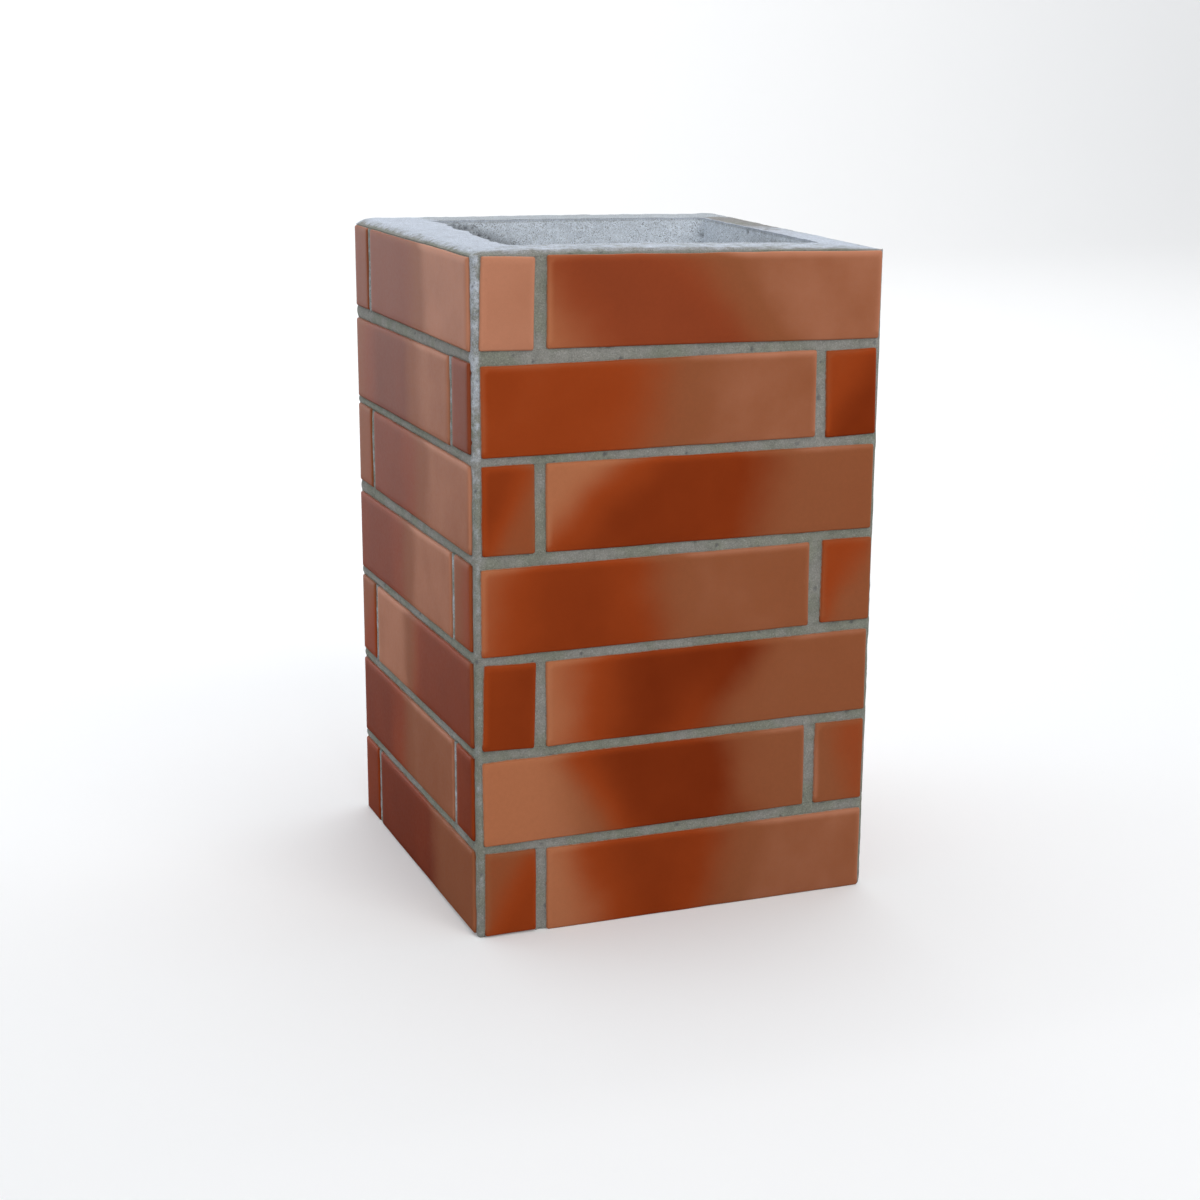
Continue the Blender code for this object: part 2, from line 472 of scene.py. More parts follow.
def make_slip(face, course, kind):
    """Builds one slip in its CAD box, seen as if on the front face, then turns it to its own face.

    The grid of slip_shape is its front. Straight walls run from its outline to a flat back.
    """
    name = f"{face}_course_{course}_{kind}"
    ends = turned(np.array(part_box(name)), FACES[-FACES.index(face) % len(FACES)])
    low, high = ends.min(axis=0), ends.max(axis=0)
    length, height = (high - low)[[0, 2]]
    across, up, depth, rim, arris_highlight_and_shade = slip_shape(length, height)
    cloud = SEEN_CLOUDS.get(name) or chance_cloud(luck, kind)
    seed = FACES.index(face) * 100 + course * 10 + (kind == "closer")
    flat = np.stack([across, up, np.full_like(up, seed)], axis=-1)
    drift = DRIFT * lumps(flat, 38 * MM, seed + 3) + DRIFT / 2 * lumps(flat, 19 * MM, seed + 4)
    flash = clouded((across + drift) / length, up / height, cloud)
    depth = depth + BOW * (1 + lumps(flat, 45 * MM, seed)) * (1 - rim)
    across = across + WAVER * rim * lumps(flat, 22 * MM, seed + 1)
    up = up + WAVER * rim * lumps(flat, 22 * MM, seed + 2)
    share = across / length
    right, lift = slid(name, length, share, up - height / 2)
    ends_at_right = (kind == "stretcher") == (course % 2 == 1)
    if face == "front" and ends_at_right:
        right = right + LONG_END * ease(LONG_FROM, 1, share)
    across = low[0] + across + right
    up = np.maximum(low[2] + up + lift, 0)
    front = np.stack([across, low[1] + depth, up], axis=-1).reshape(-1, 3)
    outline = boundary(*across.shape)
    skirt = front[outline].copy()
    skirt[:, 1] = high[1]
    points = turned(np.concatenate([front, skirt]), face)
    rear = len(front) + np.arange(len(outline))
    walls = np.stack([outline, rear, np.roll(rear, -1), np.roll(outline, -1)], axis=-1)
    faces = [*grid_faces(*across.shape), *walls, rear[::-1]]
    # A painted sheen: duller dark clay, most on the left side, fading towards the foot.
    dull_sheen = SHEEN_DULLNESS[face] * (course / COURSES[-1]) ** 2
    if course == COURSES[-1]:
        dull_sheen = max(dull_sheen, SHEEN_DULL_TOP)
    peak = flash if cloud[-1] is None else cloud[-1]
    values = {
        "flash": flash,
        "fired": flash + (peak - flash) * ease(*FIRED_EVEN, share),
        # The arrises' painted highlight, and painted shade on the lower one.
        "arris_highlight_and_shade": arris_highlight_and_shade,
        # A painted highlight at the left end of stretchers off the left side.
        "left_end_highlight": ease(*HIGHLIGHT_END, share) * (kind == "stretcher" and face != "left"),
        "dull_sheen": np.full_like(flash, dull_sheen),
    }
    values = {key: np.append(value, value.ravel()[outline]) for key, value in values.items()}
    new_piece(name + "_fired", points, faces, CLINKER, "clinker", [name], **values)


for face, course, kind in SLIPS:
    make_slip(face, course, kind)


# Casing. One cast shell of grit concrete round a square shaft. Its fine mortar fills the joints
# between the slips and wraps the corners. A whitish skim is trowelled over the rim and stops
# raggedly at the shaft, where the bare concrete is coarse and pitted.

# Sizes of the shell and of its bond, read from the CAD part's boxes.
HALF = cad_box[1][0]
JOINT_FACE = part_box("casing")[1][0]
closer, stretcher, closer_above = (
    np.array(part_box(f"front_course_{name}")) for name in ("1_closer", "1_stretcher", "2_closer"))
LENGTHS = {"closer": closer[1][0] - closer[0][0], "stretcher": stretcher[1][0] - stretcher[0][0]}
SLIP_HEIGHT = closer[1][2] - closer[0][2]
COURSE_STEP = closer_above[0][2] - closer[0][2]
BED_JOINT = COURSE_STEP - SLIP_HEIGHT
CROSS_JOINT = stretcher[0][0] - closer[1][0]
CORNER_BAND = HALF + closer[0][0]
TOP = len(COURSES) - 1
RIM_LIP = 1.0 * MM
LIP_TOP = TOP * COURSE_STEP + SLIP_HEIGHT + RIM_LIP
# The floor of a slip's pocket lies a little behind the slip's back.
POCKET_PLAY = 0.1 * MM
POCKET_FLOOR = -closer[1][1] - POCKET_PLAY
CORNER_ROUND = 3.0 * MM
CORNER_TURNS = np.radians([22.5, 45.0, 67.5])
# How far the grid lines keep from the edge of a pocket, and where the pocket starts.
TUCK = 0.15 * MM
POCKET_EDGE = 1.5 * TUCK
# Left edge of each slip along a side, in even courses and in odd ones.
STARTS = [
    {"stretcher": CORNER_BAND, "closer": CORNER_BAND + LENGTHS["stretcher"] + CROSS_JOINT},
    {"closer": CORNER_BAND, "stretcher": CORNER_BAND + LENGTHS["closer"] + CROSS_JOINT},
]
# How finely the zones are divided along a side (corner, closer, joint, middle, and back again) and
# going up it (slip and joint in turn), and each zone's tucks: -1 for a joint and 2 for a slip.
SIDE_STEPS = (2, 19, 6, 105, 6, 19, 2)
SIDE_TUCKS = (-1, 2, -1, 2, -1, 2, -1)
RISE_STEPS = (30, 6) * TOP + (30, 1)
RISE_TUCKS = (2, -1) * len(COURSES)


def zone_lines(edges, steps, tucks):
    """Grid lines over zones between edges, each zone divided evenly into its steps.

    A joint's zone reaches one tuck into the slips beside it, and a slip's zone starts two tucks
    in, so that the wall of the slip's pocket stands between the two lines at every edge.
    """
    zones = []
    for low, high, count, tuck in zip(edges, edges[1:], steps, tucks):
        zones.append(np.linspace(low + tuck * TUCK, high - tuck * TUCK, count + 1))
    zones[0][0], zones[-1][-1] = edges[0], edges[-1]
    return np.concatenate(zones)


straight = HALF - JOINT_FACE + CORNER_ROUND
cross = STARTS[1]["stretcher"]
edges = [straight, CORNER_BAND, cross - CROSS_JOINT, cross]
edges += [2 * HALF - edge for edge in edges[::-1]]
column_x = zone_lines(edges, SIDE_STEPS, SIDE_TUCKS)
beds = [edge + number * COURSE_STEP for number in range(len(COURSES)) for edge in (0, SLIP_HEIGHT)]
row_z = zone_lines(beds + [LIP_TOP], RISE_STEPS, RISE_TUCKS)
columns = len(FACES) * (len(column_x) + len(CORNER_TURNS))


def ring(halves, radius):
    """Loops round the block, one for each row, from its four sides' distances to the axis.

    A side is straight between its corners, and a corner is an arc of the row's radius. Every loop
    uses the columns' places along a side, stretched to that side's own length.
    """
    share = (column_x - HALF) / (HALF - straight)
    radius = radius[:, None]
    loops = []
    for number, face in enumerate(FACES):
        ahead, left, right = (halves[:, [(number + step) % len(FACES)]] for step in (0, -1, 1))
        x = share * np.where(share < 0, left - radius, right - radius)
        y = np.broadcast_to(-ahead, x.shape)
        arc_x = right - radius * (1 - np.sin(CORNER_TURNS))
        arc_y = -ahead + radius * (1 - np.cos(CORNER_TURNS))
        x, y = np.hstack([x, arc_x]), np.hstack([y, arc_y])
        loops.append(turned(np.stack([x, y, np.zeros_like(x)], axis=-1), face))
    return np.concatenate(loops, axis=1)


def pitted(points, size, share, seed):
    """0 outside pits and up to 1 in the middle of one.

    Space is cut into cubes. A share of the cubes holds one pit each, with a random centre and a
    radius of a quarter to a half of the cube. The value falls with the square of the distance.
    """
    cell = np.floor(points / size).astype(np.int64)
    deepest = np.zeros(points.shape[:-1])
    for step in np.ndindex(3, 3, 3):
        near = cell + np.array(step) - 1
        *place, width, luck_here = (chance(near, seed + number * 31) for number in range(5))
        centre = (near + np.stack(place, axis=-1)) * size
        gap = np.linalg.norm(points - centre, axis=-1) / (size * (0.25 + 0.25 * width))
        deepest = np.maximum(deepest, np.where(luck_here < share, 1 - gap ** 2, 0))
    return deepest


# Single pits that the picture shows, in mm: the place of the centre, and the radius.
SEEN_PITS = (
    (-45, -113, 499.5, 2.0),
    (121, -124, 498.0, 2.2),
    (151, -152, 495.6, 3.0),
    (-157.2, -157.2, 52, 1.4),
    (-157.2, -157.2, 36, 1.6),
    (-157.2, -157.2, 24, 1.3),
)


def spotted(points, spots):
    """0 outside the given pits, and 1 less the square of the distance inside them."""
    deepest = np.zeros(points.shape[:-1])
    for *centre, radius in spots:
        gap = np.linalg.norm(points - np.array(centre) * MM, axis=-1) / (radius * MM)
        deepest = np.maximum(deepest, 1 - gap ** 2)
    return deepest


def outward():
    """The direction out of the block at each column: square to a side, fanned round a corner."""
    straight_part = np.tile([0.0, -1.0, 0.0], (len(column_x), 1))
    corner_part = np.stack([np.sin(CORNER_TURNS), -np.cos(CORNER_TURNS), 0 * CORNER_TURNS], axis=-1)
    side = np.concatenate([straight_part, corner_part])
    return np.concatenate([turned(side, face) for face in FACES])


OUTWARD = outward()


def outer_side(face):
    """One side from foot to lip: its points, the pocket that each is in, or -1, and two masks.

    A point starts on the even pattern and then moves with the slips round it, so that the joints
    follow the slips as they were laid: fully beside a slip, and shared out across a joint. middle
    is a parabola across each joint, 0 at its edges and 1 half way. upright is the same where the
    joint stands between two slips of a course.
    """
    x, z = np.meshgrid(column_x, row_z)
    course = np.minimum(row_z // COURSE_STEP, TOP).astype(int)
    local = row_z - course * COURSE_STEP
    over = np.where(course < TOP, np.clip((local - SLIP_HEIGHT) / BED_JOINT, 0, 1), 0)
    beside = ((local > POCKET_EDGE) | (course == 0)) & (local < SLIP_HEIGHT - POCKET_EDGE)
    pocket = np.full(x.shape, -1)
    middle = np.repeat(4 * over * (1 - over), len(column_x)).reshape(x.shape)
    moves = []
    for number in range(len(COURSES)):
        starts = STARTS[(number + 1) % 2]
        rise = np.clip(z - number * COURSE_STEP, 0, SLIP_HEIGHT) - SLIP_HEIGHT / 2
        rows = beside & (course == number)
        slides = []
        for kind in sorted(starts, key=starts.get):
            low, length = starts[kind], LENGTHS[kind]
            along = np.clip((x - low) / length, 0, 1)
            name = f"{face}_course_{number + 1}_{kind}"
            slides.append(np.array(slid(name, length, along, rise)))
            inside = (column_x > low + POCKET_EDGE) & (column_x < low + length - POCKET_EDGE)
            pocket[np.ix_(rows, inside)] = number * 2 + KINDS.index(kind)
        last = max(starts.values())
        blend = np.clip((x - last + CROSS_JOINT) / CROSS_JOINT, 0, 1)
        moves.append(slides[0] * (1 - blend) + slides[1] * blend)
        middle[rows] = (4 * blend * (1 - blend))[rows]
    moves = np.moveaxis(np.array(moves), 1, -1)
    rows = np.arange(len(row_z))
    share = over[:, None, None]
    move = moves[course, rows] * (1 - share) + moves[np.minimum(course + 1, TOP), rows] * share
    edge = np.clip(np.minimum(x, 2 * HALF - x) / CORNER_BAND, 0, 1)
    move *= (edge * edge)[..., None]
    move[0, :, 1] = 0
    points = np.stack([x - HALF + move[..., 0], np.full_like(x, -JOINT_FACE), z + move[..., 1]],
                      axis=-1)
    return points, pocket, middle * edge, middle * beside[:, None]


# How far the mortar stands out along the middle of each side's joints. Below 0 it is raked back.
JOINT_FILL = {"front": -0.45 * MM, "right": -0.45 * MM, "back": -0.45 * MM, "left": 1.4 * MM}
# The upright joints of this side were also wiped almost flush, and are paler.
WIPED_SIDE = "left"
WIPED_FILL = 0.45 * MM
WIPED_MILK = 0.36
SIDE_LUMPS = ((16 * MM, 0.30 * MM), (5 * MM, 0.20 * MM), (2.6 * MM, 0.14 * MM))
SIDE_PIT = 0.9 * MM
# The concrete is worn back along its foot, up to this height.
FOOT_WORN = 0.8 * MM
FOOT_HEIGHT = 3.0 * MM
# How pale the corners are: with skim at the foot, how much paler they are painted towards the top
# as light, and how much of that is missing at the front right corner, which is painted in shade.
CORNER_MILK = 0.20
CORNER_PAINTED_LIGHT_RISE = 0.36
RIGHT_CORNER_PAINTED_SHADE = 0.6


def relief(points, sizes, seed):
    """Noise of several sizes added up, each with its own height."""
    return sum(height * lumps(points, size, seed + step) for step, (size, height) in enumerate(sizes))


def outside():
    """All four sides joined by the arcs of the corners, with their lumps, joints and pits.

    The last mask is how much of the rim's skim has run down the corners or was wiped into the
    joints, and the painted light that pales the corners towards the top; the front right corner is
    left darker as painted shade.
    """
    parts, pockets, pits, milk_and_painted_light = [], [], [], []
    for number, face in enumerate(FACES):
        points, pocket, middle, upright = outer_side(face)
        bend = np.empty((len(row_z), len(CORNER_TURNS), 3))
        bend[..., 0] = JOINT_FACE - CORNER_ROUND * (1 - np.sin(CORNER_TURNS))
        bend[..., 1] = -JOINT_FACE + CORNER_ROUND * (1 - np.cos(CORNER_TURNS))
        bend[..., 2] = row_z[:, None]
        points = np.concatenate([points, bend], axis=1)
        none = np.zeros(bend.shape[:2])
        pocket = np.hstack([pocket, none - 1]).astype(int)
        middle = np.hstack([middle, none])
        wiped = np.hstack([upright, none]) * (face == WIPED_SIDE)
        world = turned(points, face)
        pit = np.maximum(pitted(world, 5 * MM, 0.10, 3), spotted(world, SEEN_PITS))
        push = relief(world, SIDE_LUMPS, 11) - SIDE_PIT * pit
        push += JOINT_FILL[face] * middle + WIPED_FILL * wiped
        push -= FOOT_WORN * (1 - ease(0, FOOT_HEIGHT, points[..., 2]))
        push[pocket >= 0] = POCKET_FLOOR - JOINT_FACE
        out = OUTWARD[number * points.shape[1]:(number + 1) * points.shape[1]]
        parts.append(world + out * push[..., None])
        pockets.append(np.where(pocket >= 0, pocket + len(KINDS) * len(COURSES) * number, -1))
        pits.append(pit)
        # Corners: skim, paler towards the top as painted light, darker at the front right as painted
        # shade.
        corner = 1 - ease(6 * MM, 10 * MM, HALF - np.abs(points[..., 0]))
        corner *= 1 - RIGHT_CORNER_PAINTED_SHADE * ((world[..., 0] > 0) & (world[..., 1] < 0))
        corner *= CORNER_MILK + CORNER_PAINTED_LIGHT_RISE * ease(0.25, 0.5, points[..., 2])
        milk_and_painted_light.append(np.maximum(corner, WIPED_MILK * wiped))
    return np.hstack(parts), np.hstack(pockets), np.hstack(pits), np.hstack(milk_and_painted_light)


# The top, side by side in the order of FACES: how far out its flat starts, where it ends, how far
# down the shaft the wall comes to its full width, and how ragged the edge over it is.
RIM_OUTER = np.array([154.0, 154.0, 152.5, 149.5]) * MM
RIM_INNER = np.array([115.0, 128.5, 114.5, 118.5]) * MM
TAPER = np.array([90.0, 150.0, 120.0, 40.0]) * MM
RAGGED = np.array([0.5, 0.4, 0.7, 2.6]) * MM
SHAFT = 120.0 * MM
SHAFT_CORNER = 10.0 * MM
RIM_CORNER = 7.0 * MM
# The skim hangs over the left wall's edge, more towards the back.
OVERHANG = 14.0 * MM
# The top wasn't struck off level: its corners differ, and its front edge humps in the middle.
CORNER_HEIGHTS = {"front_left": 499.6, "front_right": 495.4, "back_left": 501.4, "back_right": 501.2}
FRONT_HUMP = 2.4 * MM
EDGE_DROP = 0.5 * MM
SLOPE_STEPS = np.array([0.35, 0.7])
FLAT_STEPS = np.linspace(0, 1, 19)
SHAFT_DEPTHS = np.array([0.5, 1.4, 2.6, 4.2, 6.2, 8.2, 10.4, 12.6, 14.8, 17.0, 19.2, 21.4, 24, 27,
                         31, 37, 46, 60, 85, 120, 170, 240, 320, 400, 460]) * MM
FOOT_STEPS = np.array([0.0, 0.15, 0.5, 0.85])
TOP_LUMPS = ((32 * MM, 0.25 * MM), (9 * MM, 0.22 * MM), (4 * MM, 0.18 * MM))
SHAFT_LUMPS = ((24 * MM, 0.5 * MM), (7 * MM, 0.4 * MM), (3.5 * MM, 0.3 * MM))
TOP_PIT = 1.2 * MM
SHAFT_PIT = 1.8 * MM


def per_column(values):
    """A value of each side spread over the side's columns, and eased round the corners."""
    count = len(column_x)
    turn = ease(0, math.pi / 2, CORNER_TURNS)
    pairs = zip(values, np.roll(values, -1))
    return np.concatenate([np.append(np.full(count, here), here + (after - here) * turn)
                           for here, after in pairs])


def rim_height(x, y):
    """The height of the top: even between its four corners, plus a parabola along its front."""
    east, north = (x / HALF + 1) / 2, (y / HALF + 1) / 2
    low = CORNER_HEIGHTS["front_left"] * (1 - east) + CORNER_HEIGHTS["front_right"] * east
    high = CORNER_HEIGHTS["back_left"] * (1 - east) + CORNER_HEIGHTS["back_right"] * east
    hump = FRONT_HUMP * (1 - (x / HALF) ** 2) * (1 - north)
    return (low * (1 - north) + high * north) * MM + hump


def rim_and_shaft(lip):
    """Rows from the lip up the slope, over the top, down the shaft and out along the foot.

    The slope rises as a sine. The top follows rim_height and drops towards both of its edges with
    the sixth power of the distance from its middle. The shaft's wall eases to its full width. With
    the rows come how deep in a pit each point is, and a mask of the pitted back left of the shaft,
    which is also where its painted shadow lies.
    """
    outer, inner, shaft, foot = (
        ring(np.broadcast_to(halves, (1, 4)), np.array([radius]))[0]
        for halves, radius in ((RIM_OUTER, RIM_CORNER), (RIM_INNER, SHAFT_CORNER),
                               (SHAFT, SHAFT_CORNER), (JOINT_FACE, CORNER_ROUND)))
    ragged = per_column(RAGGED) * (lumps(inner, 11 * MM, 41) + 0.6 * lumps(inner, 4 * MM, 42))
    hang = per_column([0, 0, 0, OVERHANG]) * ease(-120 * MM, 130 * MM, inner[:, 1])
    edge = inner - OUTWARD * (ragged + hang)[:, None]
    step = FLAT_STEPS[:, None, None]
    top = outer + (edge - outer) * step
    top[..., 2] = rim_height(top[..., 0], top[..., 1]) - EDGE_DROP * (2 * step[..., 0] - 1) ** 6
    step = SLOPE_STEPS[:, None]
    slope = lip + (top[0] - lip) * np.stack([step, step, np.sin(step * math.pi / 2)], axis=-1)
    depth = SHAFT_DEPTHS[:, None]
    share = ease(0, 1, depth / per_column(TAPER))
    wall = edge + (shaft - edge) * share[..., None]
    wall[..., 2] = top[-1, :, 2] - depth
    base = shaft + (foot - shaft) * FOOT_STEPS[:, None, None]
    top_pit = spotted(top, SEEN_PITS)
    top[..., 2] += relief(top * (1, 1, 0), TOP_LUMPS, 51) - TOP_PIT * top_pit
    top[..., 2] = np.minimum(top[..., 2], cad_box[1][2] - 0.1 * MM)
    # The pitted back left of the shaft, also painted dark there as the left wall's shadow.
    coarse_shadowed = 1 - ease(0, 30 * MM, wall[..., 0] + 95 * MM + 2.4 * (wall[..., 2] - 500 * MM))
    coarse_shadowed = coarse_shadowed * (wall[..., 1] > 0)
    deep = np.maximum(pitted(wall, 7 * MM, 0.12, 61), pitted(wall, 4.5 * MM, 0.7, 62) * coarse_shadowed)
    deep = deep * (1 - ease(45 * MM, 110 * MM, depth))
    rough = ease(0, 6 * MM, depth)
    push = rough * (relief(wall, SHAFT_LUMPS, 71) + SHAFT_PIT * deep)
    wall = wall + OUTWARD * push[..., None]
    at_slope, at_top, at_foot = (np.zeros(part.shape[:2]) for part in (slope, top, base))
    pit = np.concatenate([at_slope, top_pit, deep * rough, at_foot])
    coarse_shadowed = np.concatenate([at_slope, at_top, coarse_shadowed * rough, at_foot])
    return np.concatenate([slope, top, wall, base]), pit, coarse_shadowed


def by_row(slope, flat, shaft, foot):
    """A column with a value for each row of the rim and shaft, from the values of its four zones."""
    zones = ((slope, SLOPE_STEPS), (flat, FLAT_STEPS), (shaft, SHAFT_DEPTHS), (foot, FOOT_STEPS))
    return np.concatenate([value + 0 * steps for value, steps in zones])[:, None]


def rim_finish(rows, pit, coarse_shadowed):
    """How much skim, bare concrete, brown-grey, pit and painted shade each point of the rim and
    shaft shows.

    The top is skimmed, but bare along the back, where it is painted in shade too, and brown-grey far
    along the right. The shaft is bare below its edge, pitted at the back left, where it is painted
    dark as the left wall's shadow, painted darker towards its left side, and trowelled smooth at
    the front right.
    """
    x, y = rows[..., 0], rows[..., 1]
    level = rows * (1, 1, 0)
    wander = 9 * MM * lumps(level, 15 * MM, 81) + 5 * MM * lumps(level, 6 * MM, 82)
    back = ease(-8 * MM, 8 * MM, np.minimum(x + 104 * MM, y - 108 * MM) + wander)
    right = ease(-8 * MM, 8 * MM, x - 124 * MM + 0.4 * wander) * (1 - back)
    front = ease(-5 * MM, 5 * MM, -y - np.abs(x))
    left = ease(-5 * MM, 5 * MM, -x - np.abs(y))
    below = ease(0.5 * MM, 3 * MM, SHAFT_DEPTHS)
    walled = by_row(0, 0, ease(3 * MM, 8 * MM, SHAFT_DEPTHS), 0)
    skim = by_row(0.36 + 0.40 * SLOPE_STEPS, np.minimum(0.70 + 4 * FLAT_STEPS, 1), 1 - below, 0)
    bare = by_row(0, 0, below, 0.6)
    brown_grey = by_row(0.5, 0.3 * (FLAT_STEPS < 0.1), 0, 0)
    bare_back = back * by_row(0, 1, 0, 0)
    far_right = 0.8 * right * ease(-70 * MM, 70 * MM, y + 2 * wander)
    far_right = far_right * by_row(0, 1.0 * (FLAT_STEPS < 1), 0, 0)
    smooth = ease(40 * MM, -60 * MM, y) * (x > 105 * MM) * walled
    skim = skim + 0.04 * left * by_row(1, 0, 0, 0) + 0.6 * smooth
    return {
        "skim": skim * (1 - 0.8 * bare_back) * (1 - far_right) * (1 - 0.33 * front),
        "bare": np.maximum(bare, 0.75 * bare_back) * (1 - 0.6 * smooth),
        "brown_grey": np.maximum(brown_grey * front, far_right),
        "pit": pit,
        # Painted shade: the left wall's shadow at the back left, the shaft's left side, the back of
        # the top.
        "painted_shade": np.maximum(coarse_shadowed, 0.7 * bare_back + 0.25 * ease(0, -90 * MM, x) * walled),
    }


# Brown-grey on the front slope and far along the right of the top.
BROWN_GREY = (0.25, 0.232, 0.228, 1)
JOINT_GREY = (0.228, 0.225, 0.202, 1)
JOINT_GREEN = (0.188, 0.196, 0.156, 1)
SKIM_WHITE = (0.49, 0.53, 0.60, 1)
# Bare concrete, painted paler than the skim: its own grey plus painted light inside the shaft.
BARE_GREY_AND_LIGHT = (0.74, 0.80, 0.87, 1)
# Dark grit, and the painted shade inside pits and pin holes.
GRIT_AND_HOLE_SHADE = (0.085, 0.085, 0.09, 1)
GRIT_PALE = (0.62, 0.62, 0.60, 1)


def concrete_material():
    """Grey mortar, whitish skim or bare concrete by attribute, speckled with grit and pin holes, with
    painted shade in the pits and pin holes and over the shaded parts of the rim and shaft.
    """
    material, shader, place = new_material("concrete", JOINT_GREY[:3], 0.92)
    names = ("skim", "bare", "pit", "brown_grey", "painted_shade")
    skim, bare, pit, brown_grey, painted_shade = (place.attribute(name) for name in names)
    patch = place.noise(35 * MM, 3.0)
    blotch = place.noise(6 * MM, 4.0, 0.6)
    grain = place.noise(1.1 * MM, 3.0, 0.7)
    sand = place.noise(0.8 * MM, 1.5)
    edge_noise = (place.noise(9 * MM, 6.0, 0.75) - 0.5) * 2.0
    body = patch.between(0.4, 0.6).mixed(JOINT_GREY, JOINT_GREEN)
    skimmed = (skim + edge_noise * skim * (1.0 - skim) * 4.0).between(0.15, 0.85)
    body = skimmed.mixed(body, SKIM_WHITE)
    # Bare concrete, painted pale to stand in for the light inside the shaft.
    body = bare.mixed(body, BARE_GREY_AND_LIGHT)
    smear = place.noise(14 * MM, 4.0, 0.6).between(0.35, 0.6)
    body = (brown_grey * (0.4 + smear * 0.6)).mixed(body, BROWN_GREY)
    streak = place.noise(18 * MM, 4.0, 0.6)
    shade = 1.0 + (blotch - 0.5) * 0.8 + (grain - 0.5) * 1.1 + (streak - 0.5) * 0.4
    # Painted shade darkens the colour where the rim and shaft are marked as shaded.
    body = body.shaded(shade * (1.0 - painted_shade * 0.5))
    open_grain = skim.between(0.0, 0.5) * 0.2 + bare * 0.45
    dark = (sand + (blotch - 0.5) * 0.4).between(0.54, 0.68) * (0.25 + open_grain)
    body = dark.clamped().mixed(body, GRIT_AND_HOLE_SHADE)
    pale = place.noise(0.9 * MM, 1.0).between(0.56, 0.70) * (0.15 + open_grain * 0.6)
    body = pale.mixed(body, GRIT_PALE)
    # Pits and pin holes are painted dark, as the shade inside them.
    pore = place.noise(1.8 * MM, 2.0).between(0.60, 0.70) * (bare * 0.25 + skim * 0.10)
    body = (pore + pit.between(0.05, 0.9) * 0.75).clamped().mixed(body, GRIT_AND_HOLE_SHADE)
    height = (blotch - 0.5) * 1.6 + (grain - 0.5) * 1.2 + (sand - 0.5) * 0.5 - dark * 0.5
    bump = place.node("Bump", None, {"Height": height, "Strength": 0.8, "Distance": 0.5 * MM})
    connect(material, shader, Base_Color=body, Normal=bump)
    return material


def make_casing():
    """Joins the outside to the rim, shaft and foot as one closed surface.

    The rows close on themselves from the foot back to the first row, and so do the columns. The
    floor of each pocket is one flat face in place of the grid there.
    """
    outer, pocket, outer_pit, milk_and_painted_light = outside()
    lip = outer[-1]
    lip[:, 2] = np.minimum(lip[:, 2], rim_height(lip[:, 0], lip[:, 1]) - 1 * MM)
    upper, upper_pit, coarse_shadowed = rim_and_shaft(lip)
    upper_values = rim_finish(upper, upper_pit, coarse_shadowed)
    points = np.concatenate([outer, upper])
    rows = len(points)
    pocket = np.concatenate([pocket, np.full(upper.shape[:2], -1)])
    number = np.arange(rows * columns).reshape(rows, columns)
    after, above = np.roll(number, -1, axis=1), np.roll(number, -1, axis=0)
    quads = np.stack([number, after, np.roll(above, -1, axis=1), above], axis=-1).reshape(-1, 4)
    held = pocket.ravel()[quads]
    floor = (held >= 0).all(axis=1) & (held == held[:, :1]).all(axis=1)
    faces = quads[~floor].tolist()
    for own in range(len(SLIPS)):
        row, column = np.nonzero(pocket == own)
        block = number[row.min():row.max() + 1, column.min():column.max() + 1]
        faces.append(block.ravel()[boundary(*block.shape)].tolist())
    used = np.unique(np.concatenate([np.ravel(face) for face in faces]))
    place = np.zeros(rows * columns, int)
    place[used] = np.arange(len(used))
    faces = [place[face].tolist() for face in faces]
    # On the outside, the skim value also carries the corners' painted light.
    outer_values = {"skim": milk_and_painted_light, "pit": outer_pit}
    values = {key: np.concatenate([outer_values.get(key, 0 * milk_and_painted_light), value]).ravel()[used]
              for key, value in upper_values.items()}
    new_piece("cast_casing", points.reshape(-1, 3)[used], faces, concrete_material(), "concrete",
              ["casing"], **values)


make_casing()


# Floor and backdrop: a pale sheet that runs back under the block and curves up behind it. It glows
# a little, so that it stays nearly white, and the slips don't mirror it.
def make_stage():
    """A profile of floor, quarter round and wall, carried along X."""
    bend = np.radians(np.linspace(0, 90, 17))
    radius, back = 2.0, 5.0
    y = np.concatenate([[-8.0], back + radius * np.sin(bend), [back + radius]])
    z = np.concatenate([[0.0], radius * (1 - np.cos(bend)), [7.0]])
    x = np.array([-12.0, 12.0])
    points = np.stack([np.repeat(x[None], len(y), 0), np.repeat(y[:, None], 2, 1),
                       np.repeat(z[:, None], 2, 1)], axis=-1).reshape(-1, 3)
    mesh = bpy.data.meshes.new("pale_floor")
    mesh.from_pydata(points.tolist(), [], grid_faces(len(y), 2).tolist())
    mesh.shade_smooth()
    material = bpy.data.materials.new("pale_floor")
    material.use_nodes = True
    shader = material.node_tree.nodes["Principled BSDF"]
    shader.inputs["Base Color"].default_value = (0.74, 0.74, 0.74, 1)
    shader.inputs["Roughness"].default_value = 0.8
    shader.inputs["Emission Color"].default_value = (1.0, 1.0, 1.0, 1)
    shader.inputs["Emission Strength"].default_value = 0.17
    mesh.materials.append(material)
    floor = bpy.data.objects.new("pale_floor", mesh)
    floor.visible_glossy = False
    bpy.context.scene.collection.objects.link(floor)


make_stage()


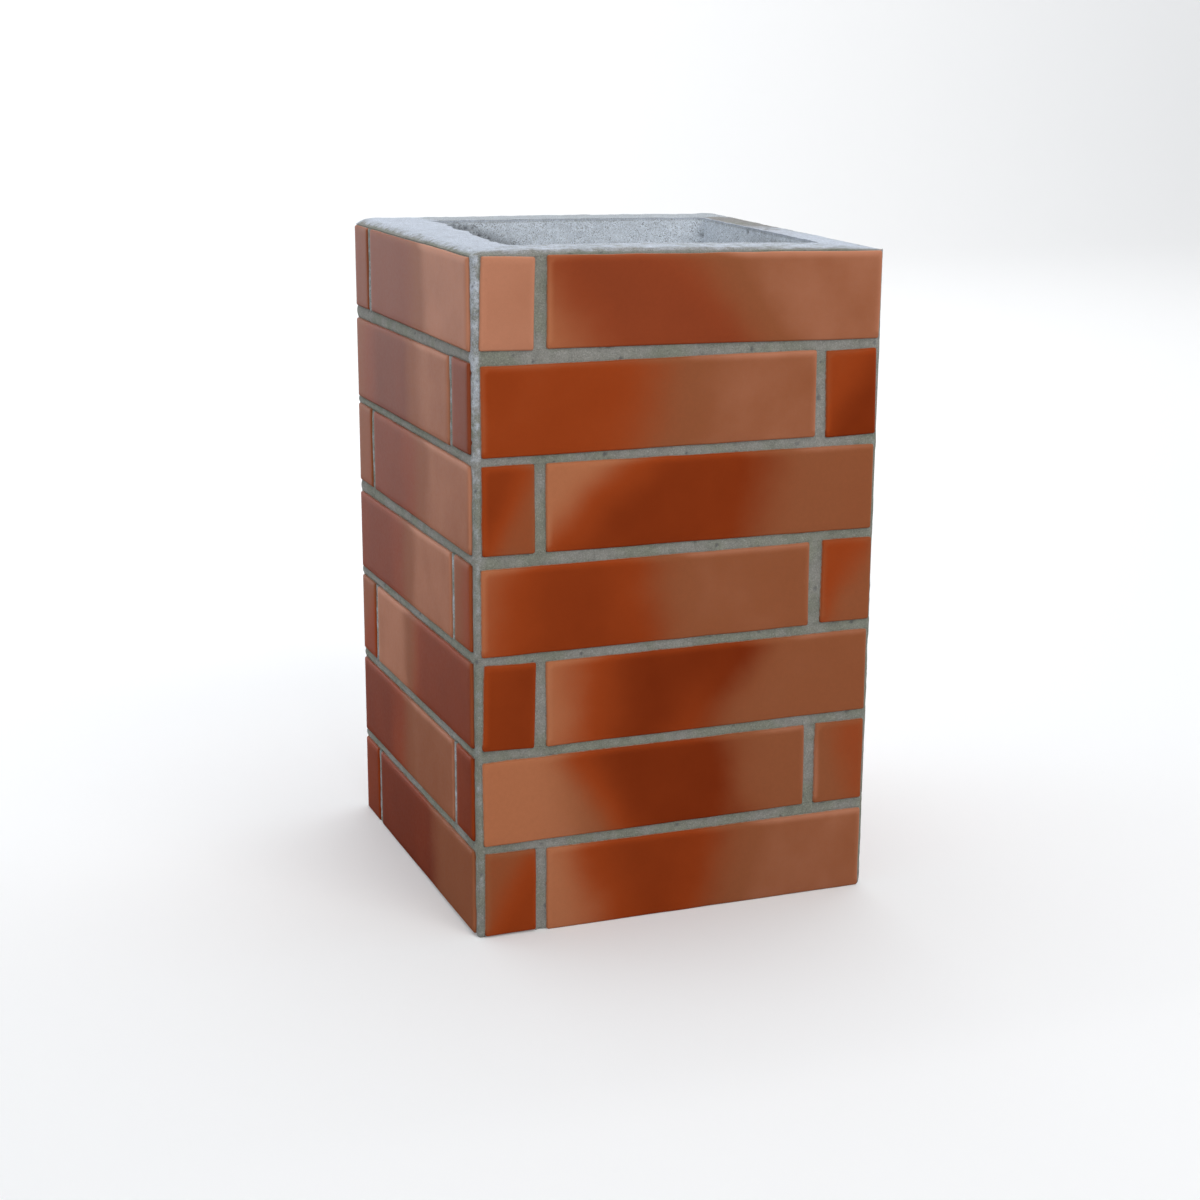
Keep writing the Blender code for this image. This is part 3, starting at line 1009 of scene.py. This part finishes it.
# Light: three broad soft lamps, above, at the left and in front, one that whitens the backdrop, and
# a pale room that is brightest at the horizon, most of all behind the block.
def add_lamp(name, size, power, place, aim, color):
    """A square lamp that faces the point it is aimed at."""
    lamp = bpy.data.lights.new(name, "AREA")
    lamp.shape = "SQUARE"
    lamp.size = size
    lamp.energy = power
    lamp.color = color
    thing = bpy.data.objects.new(name, lamp)
    thing.location = place
    direction = np.subtract(aim, place)
    flat = math.hypot(direction[0], direction[1])
    turn = math.atan2(direction[1], direction[0]) - math.pi / 2
    thing.rotation_euler = (math.atan2(flat, -direction[2]), 0, turn)
    bpy.context.scene.collection.objects.link(thing)


add_lamp("overhead", 1.5, 11, (0.35, 0.3, 1.9), (0, 0, 0.4), (0.90, 0.95, 1.0))
add_lamp("left", 1.6, 7, (-1.6, 0.6, 2.2), (0, 0, 0.45), (0.86, 0.93, 1.0))
add_lamp("front", 1.2, 17, (0.25, -1.5, 1.6), (0, 0, 0.45), (1.0, 0.985, 0.96))
add_lamp("backdrop", 6.0, 300, (0.0, 2.5, 5.0), (0.0, 7.0, 2.0), (1.0, 1.0, 1.0))

room = bpy.data.worlds.new("white_room")
room.use_nodes = True
backdrop = room.node_tree.nodes["Background"]
backdrop.inputs["Color"].default_value = (0.93, 0.96, 1.0, 1)
direction = Wire(room.node_tree).node("TexCoord", output="Generated")
east_north_up = direction.node("SeparateXYZ", None, {0: direction})
north = Wire(room.node_tree, east_north_up.socket.node.outputs["Y"])
up = Wire(room.node_tree, east_north_up.socket.node.outputs["Z"])
# The floor of the room is dim, its walls are bright and its ceiling is half as bright.
level = 0.05 + up.between(-0.30, 0.0) * 0.85 - up.between(0.05, 0.5) * 0.50
sheen = up.between(-0.40, 0.0) * north.between(0.3, 0.95) * (1.0 - up.between(0.2, 0.6)) * 1.7
level = level + sheen
room.node_tree.links.new(level.socket, backdrop.inputs["Strength"])
bpy.context.scene.world = room
bpy.context.scene.view_settings.view_transform = "Standard"


# Camera: the photograph's viewing angle, from a fit to the corners of the slips. The lens looks at
# a point a little off the middle of the frame, as a shifted lens does.
FRAME_PIXELS = 1200
FOCAL_PIXELS = 2139
CENTRE_PIXEL = (660, 630)
CAMERA_PLACE = (-0.5938, -1.5612, 0.6252)
CAMERA_TURN = (75.143, -0.699, -22.184)
lens = bpy.data.cameras.new("photo_view")
lens.sensor_width = 36
lens.lens = lens.sensor_width * FOCAL_PIXELS / FRAME_PIXELS
lens.shift_x = 0.5 - CENTRE_PIXEL[0] / FRAME_PIXELS
lens.shift_y = CENTRE_PIXEL[1] / FRAME_PIXELS - 0.5
lens.clip_start = 0.05
view = bpy.data.objects.new("photo_view", lens)
view.location = CAMERA_PLACE
view.rotation_euler = np.radians(CAMERA_TURN)
bpy.context.scene.collection.objects.link(view)
bpy.context.scene.camera = view
